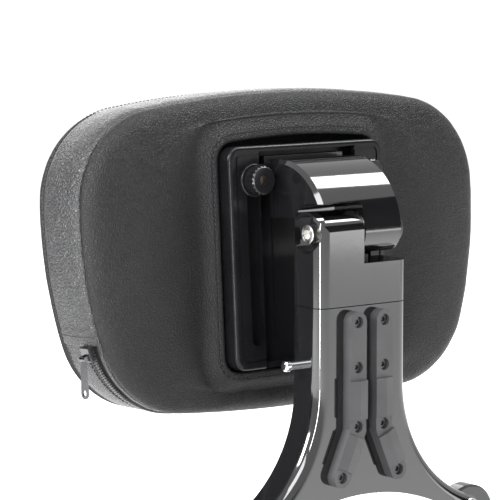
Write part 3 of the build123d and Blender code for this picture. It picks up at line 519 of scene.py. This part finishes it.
nickel = metal_material("nickel", (0.13, 0.13, 0.135), 0.24)
brass = metal_material("brass", (0.72, 0.52, 0.24), 0.25)
tape_weave = woven_material("tape_weave", (0.006, 0.006, 0.006), (0.03, 0.03, 0.032), 0.0009)
teeth_plastic = moulded_material("teeth_plastic", (0.03, 0.03, 0.032), (0.09, 0.09, 0.092), 0.28)
bolt_low, bolt_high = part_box("pivot_bolt")
bolt_face = turned_material("turned_bolt", (0.7, 0.69, 0.66), 0.2, (bolt_low + bolt_high) / 2, (1, 0, 0))

cad_looks = {
    gloss_black: ("post_block", "wishbone", "hinge_head"),
    hub_gloss: ("hub_plate_left", "hub_plate_right"),
    rail_black: ("rail_left", "rail_right"),
    frame_black: ("slide_frame",),
    channel_black: ("channel_floor",),
    guide_black: ("guide_strip_left", "guide_strip_right"),
    knob_black: ("knob_left", "knob_right"),
    cap_black: ("cap_nut",),
    rubber: ("tilt_stop",),
    chrome: ("stem_left", "stem_right", "lug_bolts", "dock_posts", "side_stud"),
    dark_steel: ("rail_screws", "carriage_plate", "head_screws"),
    steel: ("draw_bolt", "post_dowels", "thrust_washer", "clamp_studs", "frame_screws"),
    brass: ("hinge_bush", "knob_insert_left", "knob_insert_right"),
    bolt_face: ("pivot_bolt",),
}
for look, names in cad_looks.items():
    for node_name in names:
        nodes[node_name].data.materials.clear()
        nodes[node_name].data.materials.append(look)
        nodes[node_name]["finish"] = look.name

# ---------------------------------------------------------------- leather pad
shoulder_run = 17 * MM        # how far the rear panel takes to level out
front_run = 16 * MM
pad_columns = 420
flat_rows = 7
front_rows = 9
centre_hole = 0.015           # share of the front panel closed by one flat face

# (inset from the outline, depth); the seams are where the inset is largest
rear_edge = (
    (2.6 * MM, back_seam + 0.3 * MM),
    (1.3 * MM, back_seam - 0.5 * MM),
    (0.5 * MM, back_seam - 2.0 * MM),
    (0.8 * MM, back_seam - 4.2 * MM),
    (2.4 * MM, back_seam - 7.0 * MM),
    (5.4 * MM, back_seam - 9.8 * MM),
    (9.8 * MM, rear_panel + 1.3 * MM),
    (shoulder_run, rear_panel + 0.2 * MM),
)
# (distance outside the opening, depth)
collar = (
    (16.5 * MM, rear_panel - 0.2 * MM),
    (12.5 * MM, rear_panel - 1.2 * MM),
    (9.0 * MM, rear_panel - 2.9 * MM),
    (6.6 * MM, rear_panel - 4.2 * MM),
    (5.2 * MM, rear_panel - 4.7 * MM),
    (4.3 * MM, rear_panel - 4.35 * MM),
    (3.4 * MM, rear_panel - 4.9 * MM),
    (1.7 * MM, rear_panel - 5.2 * MM),
    (0.5 * MM, rear_panel - 4.7 * MM),
    (0.0, rear_panel - 3.2 * MM),
    (0.2 * MM, rear_panel + 2.0 * MM),
    (0.2 * MM, back_seam - 2.0 * MM),
)
front_edge = (
    (2.6 * MM, front_seam - 0.3 * MM),
    (1.2 * MM, front_seam + 0.5 * MM),
    (0.5 * MM, front_seam + 1.7 * MM),
    (1.2 * MM, front_seam + 3.3 * MM),
    (3.6 * MM, front_seam + 5.0 * MM),
    (8.5 * MM, front_seam + 6.3 * MM),
    (front_run, front_seam + 7.0 * MM),
)
stitch_offset = 4.3 * MM


def opening_match():
    """For each column of the pad, the length along the opening that lies the same way out."""
    angles = []
    steps = 3000
    for i in range(steps):
        point = opening.point(opening.length * i / steps)
        angles.append(atan2(point.x, frame_centre_z - point.y))
    matches = []
    at = 0
    for i in range(pad_columns):
        point = outline.point(outline.length * i / pad_columns)
        wanted = atan2(point.x, frame_centre_z - point.y)
        best = min(
            range(at - 40, at + 60),
            key=lambda k: abs(sin((angles[k % steps] - wanted) / 2)),
        )
        at = best
        matches.append(opening.length * (best % steps) / steps)
    return matches


def pucker(s, inset, depth, run):
    """Small uneven gathers that die away from a seam."""
    fade = max(0.0, 1 - inset / run)
    wave = noise.noise(Vector((s * 95, depth * 40, 3.7)))
    fine = noise.noise(Vector((s * 260, depth * 60, 9.1)))
    return fade * (0.42 * wave + 0.22 * fine) * MM


def cushion_mesh():
    matches = opening_match()
    verts = []
    columns = []
    for i in range(pad_columns):
        s = outline.length * i / pad_columns
        column = []
        q = matches[i]
        hole = opening.point(q)
        hole_out = opening.normal(q)
        for outside, depth in reversed(collar):
            flat = hole + hole_out * outside
            column.append((flat.x, depth, flat.y))
        inner = hole + hole_out * collar[0][0]
        outer = outline.point(s) - outline.normal(s) * rear_edge[-1][0]
        for j in range(1, flat_rows):
            share = j / flat_rows
            flat = inner.lerp(outer, share)
            soft = 0.9 * MM * sin(pi * share)
            column.append((flat.x, rear_panel - soft, flat.y))
        for inset, depth in reversed(rear_edge):
            flat = outline.point(s) - outline.normal(s) * inset
            column.append((flat.x, depth - pucker(s, inset, depth, shoulder_run), flat.y))
        for inset, depth in front_edge:
            flat = outline.point(s) - outline.normal(s) * inset
            column.append((flat.x, depth + pucker(s, inset, depth, front_run), flat.y))
        edge = outline.point(s) - outline.normal(s) * front_run
        centre = Vector((0, pad_centre_z))
        start = front_edge[-1][1]
        for j in range(1, front_rows + 1):
            share = max(centre_hole, 1 - j / front_rows)
            flat = centre.lerp(edge, share)
            depth = start + (front_crown - start) * (1 - share ** 2)
            column.append((flat.x, depth, flat.y))
        columns.append(column)
    rows = len(columns[0])
    for column in columns:
        verts.extend(from_pad(*point) for point in column)
    faces = grid_faces(pad_columns, rows, True)
    return verts, faces, rows


cloth_steps = 20
swell_cap = 3.2 * MM          # furthest that any point of the leather is blown


def swell(obj, rows):
    """Blows the cushion up a little as cloth, held at its seams and round the opening."""
    hold = obj.vertex_groups.new(name="sewn")
    edge_rows = len(rear_edge)
    collar_rows = len(collar)
    first_seam = collar_rows + flat_rows - 1 + edge_rows - 1
    for index, vert in enumerate(obj.data.vertices):
        row = index % rows
        if row < collar_rows - 2 or first_seam - 2 <= row <= first_seam + 3:
            hold.add([index], 1.0, "REPLACE")
    rest = [v.co.copy() for v in obj.data.vertices]
    cloth = obj.modifiers.new("cloth", "CLOTH")
    settings = cloth.settings
    settings.quality = 6
    settings.mass = 0.4
    settings.tension_stiffness = 60
    settings.compression_stiffness = 60
    settings.shear_stiffness = 30
    settings.bending_stiffness = 8
    settings.use_pressure = True
    settings.uniform_pressure_force = 4
    settings.vertex_group_mass = "sewn"
    settings.effector_weights.gravity = 0
    cloth.collision_settings.use_collision = False
    cloth.collision_settings.use_self_collision = False
    scene = bpy.context.scene
    for step in range(1, cloth_steps + 1):
        scene.frame_set(step)
    graph = bpy.context.evaluated_depsgraph_get()
    blown = obj.evaluated_get(graph)
    moved = [v.co.copy() for v in blown.data.vertices]
    obj.modifiers.remove(cloth)
    for vert, before, after in zip(obj.data.vertices, rest, moved):
        step = after - before
        if step.length > swell_cap:
            step = step.normalized() * swell_cap
        vert.co = before + step
    scene.frame_set(1)


cushion_verts, cushion_faces, cushion_rows = cushion_mesh()
cushion = add_piece("pad_cushion", cushion_verts, cushion_faces, leather, "pad")
swell(cushion, cushion_rows)
subdivide(cushion)
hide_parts("pad_foam", "rear_padding", "back_board", "cover_back", "cover_front")

# ---------------------------------------------------------------- boxing round the pad
band_crown = 1.7 * MM
band_groove = 2.2 * MM        # how deep the band turns into its seams
hem_length = 9.0 * MM
hem_thick = 0.9 * MM
band_rows = 11


def band_profile(low, high, crown, groove_low, groove_high):
    """Closed section of a leather strip between two depths: crowned outside, flat inside."""
    outer = []
    for j in range(band_rows):
        share = j / (band_rows - 1)
        depth = low + (high - low) * share
        edge = groove_low * max(0.0, 1 - share * 9) ** 2
        edge += groove_high * max(0.0, 1 - (1 - share) * 9) ** 2
        outer.append((edge - crown * sin(pi * share), depth))
    inside = 2.0 * leather_thick + 0.8 * MM
    inner = [(inside, high - 0.4 * MM), (inside, low + 0.4 * MM)]
    return outer + inner


def add_band(name, start, end, profile, reshape=None):
    verts, faces = sweep(outline, start, end, profile, 2.0 * MM, reshape)
    return add_piece(name, verts, faces, leather_band, "pad")


def hemmed(s, inset, depth):
    """The upper boxing doubles over at both ends, above the zipper."""
    to_end = min(s - zip_right, zip_left - s)
    if inset > leather_thick:
        return inset, depth
    fold = hem_thick if to_end < hem_length else hem_thick * max(0.0, 1 - (to_end - hem_length) / (3 * MM))
    crease = 0.35 * MM * sin(pi * min(1.0, abs(to_end - hem_length * 0.7) / (1.5 * MM)))
    gather = noise.noise(Vector((s * 70, depth * 55, 1.3))) * 0.35 * MM
    gather += noise.noise(Vector((s * 190, depth * 150, 5.9))) * 0.16 * MM
    return inset - fold * 0.6 + crease * 0.2 - gather, depth


def gathered(s, inset, depth):
    if inset > leather_thick:
        return inset, depth
    return inset - noise.noise(Vector((s * 110, depth * 80, 7.7))) * 0.3 * MM, depth


upper_profile = band_profile(
    back_seam + 0.4 * MM, front_seam - 0.4 * MM, band_crown, band_groove, band_groove
)
boxing_upper = subdivide(
    add_band("boxing_upper", zip_right - 1 * MM, zip_left + 1 * MM, upper_profile, hemmed)
)
tape_front = zip_depth + 6.2 * MM
tape_rear = zip_depth - 5.6 * MM
lower_start = zip_left - 6 * MM
lower_end = outline.length + zip_right + 6 * MM
lower_drop = 1.0 * MM


def shifted(profile, drop):
    return [(inset + drop, depth) for inset, depth in profile]


front_profile = shifted(
    band_profile(tape_front, front_seam - 0.4 * MM, 0.8 * MM, 0.9 * MM, band_groove), lower_drop
)
rear_profile = shifted(
    band_profile(back_seam + 0.4 * MM, tape_rear, 0.3 * MM, band_groove, 0.7 * MM), lower_drop
)
subdivide(add_band("boxing_lower_front", lower_start, lower_end, front_profile, gathered))
subdivide(add_band("boxing_lower_rear", lower_start, lower_end, rear_profile, gathered))
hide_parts("cover_band")

# ---------------------------------------------------------------- zipper
tape_section = [
    (1.9 * MM, tape_rear - 2.5 * MM),
    (1.9 * MM, tape_front + 2.5 * MM),
    (2.6 * MM, tape_front + 2.5 * MM),
    (2.6 * MM, tape_rear - 2.5 * MM),
]
tape_verts, tape_faces = sweep(outline, lower_start, lower_end, tape_section, 2.5 * MM)
tape = add_piece("zip_tape_woven", tape_verts, tape_faces, tape_weave, "pad", False)
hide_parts("zipper_tape")

tooth_pitch = 1.9 * MM
tooth_half = 0.62 * MM
tooth_reach = 2.35 * MM
tooth_cross = 0.5 * MM
chain_lift = 0.35 * MM        # chain's middle outside the outline's inner tape


def rounded_tooth(verts, faces, s, side):
    """One moulded tooth, from its tape side to just past the chain's middle."""
    near = zip_depth - side * tooth_cross
    far = zip_depth + side * tooth_reach
    first = len(verts)
    section = ((-1, 0.35), (-0.55, 1.0), (0.55, 1.0), (1, 0.35), (1, -0.6), (-1, -0.6))
    rings = (
        (near, 0.55),
        (near + side * 0.35 * MM, 1.0),
        (far - side * 0.5 * MM, 0.9),
        (far, 0.5),
    )
    for depth, grow in rings:
        for along, up in section:
            inset = chain_lift - up * grow * 0.85 * MM
            verts.append(outline.spot(s + along * tooth_half * grow, inset, depth))
    count = len(section)
    for j in range(3):
        for k in range(count):
            a = first + j * count + k
            b = first + j * count + (k + 1) % count
            faces.append((a, b, b + count, a + count))
    faces.append(tuple(first + k for k in reversed(range(count))))
    faces.append(tuple(first + 3 * count + k for k in range(count)))


teeth_verts, teeth_faces = [], []
tooth_total = int((lower_end - lower_start - 4 * MM) / tooth_pitch)
for tooth in range(tooth_total):
    place = lower_start + 2 * MM + tooth * tooth_pitch
    rounded_tooth(teeth_verts, teeth_faces, place, 1)
    rounded_tooth(teeth_verts, teeth_faces, place + tooth_pitch / 2, -1)
teeth = add_piece("zip_teeth_chain", teeth_verts, teeth_faces, teeth_plastic, "pad")
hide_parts("zipper_teeth")

nodes["zipper_slider"].data.materials.clear()
nodes["zipper_slider"].data.materials.append(nickel)
nodes["zipper_pull"].data.materials.clear()
nodes["zipper_pull"].data.materials.append(nickel)


# ---------------------------------------------------------------- sewing
def seam_spots(start, end, pitch, inset, depth, path=outline):
    spots = []
    count = int((end - start) / pitch)
    for i in range(count):
        s = start + (i + 0.5) * pitch
        place = path.spot(s, inset, depth)
        along = path.spot(s + pitch / 3, inset, depth) - path.spot(s - pitch / 3, inset, depth)
        flat = path.normal(s)
        out = right * flat.x + pad_up * flat.y
        spots.append((place, along, out))
    return spots


stitch_pitch = 3.1 * MM
stitch_length = 2.3 * MM
thread_radius = 0.34 * MM


def sew(name, spots):
    """A row of stitches in the pad's own thread."""
    stitch_row(name, spots, thread, "pad", stitch_length, thread_radius)

front_stitches = seam_spots(
    zip_right, zip_left, stitch_pitch, -0.95 * MM, front_seam - 4.2 * MM
)
front_stitches += seam_spots(
    lower_start, lower_end, stitch_pitch, lower_drop - 0.35 * MM, front_seam - 4.2 * MM
)
sew("stitches_front_seam", front_stitches)
tape_stitches = seam_spots(
    lower_start + 6 * MM, lower_end - 6 * MM, stitch_pitch, lower_drop - 0.35 * MM, tape_front + 2.6 * MM
)
sew("stitches_zip_edge", tape_stitches)

lip_stitches = []
lip_count = int(opening.length / stitch_pitch)
for i in range(lip_count):
    s = opening.length * (i + 0.5) / lip_count
    place = opening.spot(s, -stitch_offset, rear_panel - 4.55 * MM)
    ahead = opening.spot(s + MM, -stitch_offset, rear_panel)
    along = ahead - opening.spot(s - MM, -stitch_offset, rear_panel)
    lip_stitches.append((place, along, -pad_forward))
sew("stitches_opening", lip_stitches)

hem_stitches = []
for s in (zip_left - 6 * MM, zip_right + 6 * MM):
    for i in range(13):
        depth = back_seam + 4 * MM + i * stitch_pitch
        share = (depth - back_seam) / (front_seam - back_seam)
        inset = -band_crown * sin(pi * share) - hem_thick * 0.6 - 0.15 * MM
        flat = outline.normal(s)
        hem_stitches.append((outline.spot(s, inset, depth), pad_forward, right * flat.x + pad_up * flat.y))
sew("stitches_hem", hem_stitches)


# ---------------------------------------------------------------- camera, light and room
def aim(obj, place, target):
    obj.location = place
    obj.rotation_euler = (Vector(target) - Vector(place)).to_track_quat("-Z", "Y").to_euler()


camera_data = bpy.data.cameras.new("camera")
camera = bpy.data.objects.new("camera", camera_data)
bpy.context.scene.collection.objects.link(camera)
camera_place = Vector((-1.0269, -1.2799, 0.4232))
camera_way = Vector((0.5975, 0.7928, -0.1201))
aim(camera, camera_place, camera_place + camera_way)
camera_data.lens = 180
camera_data.sensor_width = 36
camera_data.clip_end = 100
bpy.context.scene.camera = camera
bpy.context.scene.view_settings.view_transform = "Standard"


def area_light(name, place, target, size, watts):
    data = bpy.data.lights.new(name, "AREA")
    data.shape = "RECTANGLE"
    data.size, data.size_y = size
    data.energy = watts
    light = bpy.data.objects.new(name, data)
    bpy.context.scene.collection.objects.link(light)
    aim(light, place, target)
    light.visible_camera = False
    return light


middle = Vector((0, 0, 0.2))
area_light("key", (-1.3, -1.0, 1.5), middle, (0.9, 0.9), 26)
area_light("top", (0.1, -0.3, 1.7), middle, (1.4, 0.7), 20)
area_light("rear_right", (1.5, -1.6, 0.2), middle, (1.3, 1.5), 22)
area_light("front", (0.6, 1.8, 0.9), middle, (1.4, 1.2), 14)
area_light("corner_strip", (-0.95, -0.72, 0.1), middle, (0.07, 1.0), 13)
area_light("left", (-1.5, 0.3, 0.9), (-0.15, 0.03, 0.25), (0.6, 0.6), 42)
area_light("hood", (0.95, -0.08, 1.45), middle, (0.5, 0.5), 12)

world = bpy.data.worlds.new("studio")
bpy.context.scene.world = world
world.use_nodes = True
world_tree = world.node_tree
path = world_tree.nodes.new("ShaderNodeLightPath")


def seen_directly(tree, light_path):
    """1 for camera, glossy and transmission rays."""
    total = None
    for output in ("Is Camera Ray", "Is Glossy Ray", "Is Transmission Ray"):
        if total is None:
            total = light_path.outputs[output]
            continue
        node = tree.nodes.new("ShaderNodeMath")
        node.operation = "MAXIMUM"
        tree.links.new(total, node.inputs[0])
        tree.links.new(light_path.outputs[output], node.inputs[1])
        total = node.outputs[0]
    return total


background = world_tree.nodes["Background"]
strength = world_tree.nodes.new("ShaderNodeMapRange")
strength.inputs["To Min"].default_value = 0.3
strength.inputs["To Max"].default_value = 1.0
world_tree.links.new(seen_directly(world_tree, path), strength.inputs["Value"])
background.inputs["Color"].default_value = (1, 1, 1, 1)
world_tree.links.new(strength.outputs["Result"], background.inputs["Strength"])

floor_z = cad_box[0][2] - 0.5 * MM
floor_mesh = bpy.data.meshes.new("floor")
reach = 40.0
floor_mesh.from_pydata(
    [(-reach, -reach, floor_z), (reach, -reach, floor_z), (reach, reach, floor_z), (-reach, reach, floor_z)],
    [],
    [(0, 1, 2, 3)],
)
floor = bpy.data.objects.new("floor", floor_mesh)
bpy.context.scene.collection.objects.link(floor)
floor_look = bpy.data.materials.new("floor_white")
floor_look.use_nodes = True
floor_tree = floor_look.node_tree
floor_shader = floor_tree.nodes["Principled BSDF"]
floor_shader.inputs["Base Color"].default_value = (0.8, 0.8, 0.8, 1)
floor_shader.inputs["Roughness"].default_value = 0.9
floor_shader.inputs["Specular IOR Level"].default_value = 0.0
floor_shader.inputs["Emission Color"].default_value = (1, 1, 1, 1)
floor_path = floor_tree.nodes.new("ShaderNodeLightPath")
glow = floor_tree.nodes.new("ShaderNodeMapRange")
glow.inputs["To Min"].default_value = 0.0
glow.inputs["To Max"].default_value = 0.8
floor_tree.links.new(seen_directly(floor_tree, floor_path), glow.inputs["Value"])
floor_tree.links.new(glow.outputs["Result"], floor_shader.inputs["Emission Strength"])
floor_mesh.materials.append(floor_look)


def dark_card(name, place, target, size):
    """A black card beside the object, seen only in its reflections."""
    half_x, half_y = size[0] / 2, size[1] / 2
    mesh = bpy.data.meshes.new(name)
    mesh.from_pydata(
        [(-half_x, -half_y, 0), (half_x, -half_y, 0), (half_x, half_y, 0), (-half_x, half_y, 0)],
        [],
        [(0, 1, 2, 3)],
    )
    card = bpy.data.objects.new(name, mesh)
    bpy.context.scene.collection.objects.link(card)
    aim(card, place, target)
    look = bpy.data.materials.new(name)
    look.use_nodes = True
    shader = look.node_tree.nodes["Principled BSDF"]
    shader.inputs["Base Color"].default_value = (0.01, 0.01, 0.01, 1)
    shader.inputs["Roughness"].default_value = 1.0
    shader.inputs["Specular IOR Level"].default_value = 0.0
    mesh.materials.append(look)
    card.visible_camera = False
    card.visible_shadow = False
    card.visible_diffuse = False
    return card


dark_card("card_left", (-0.75, 1.0, 0.25), middle, (1.4, 1.2))
dark_card("card_hood", (0.9, -1.05, 0.72), middle, (2.0, 0.95))
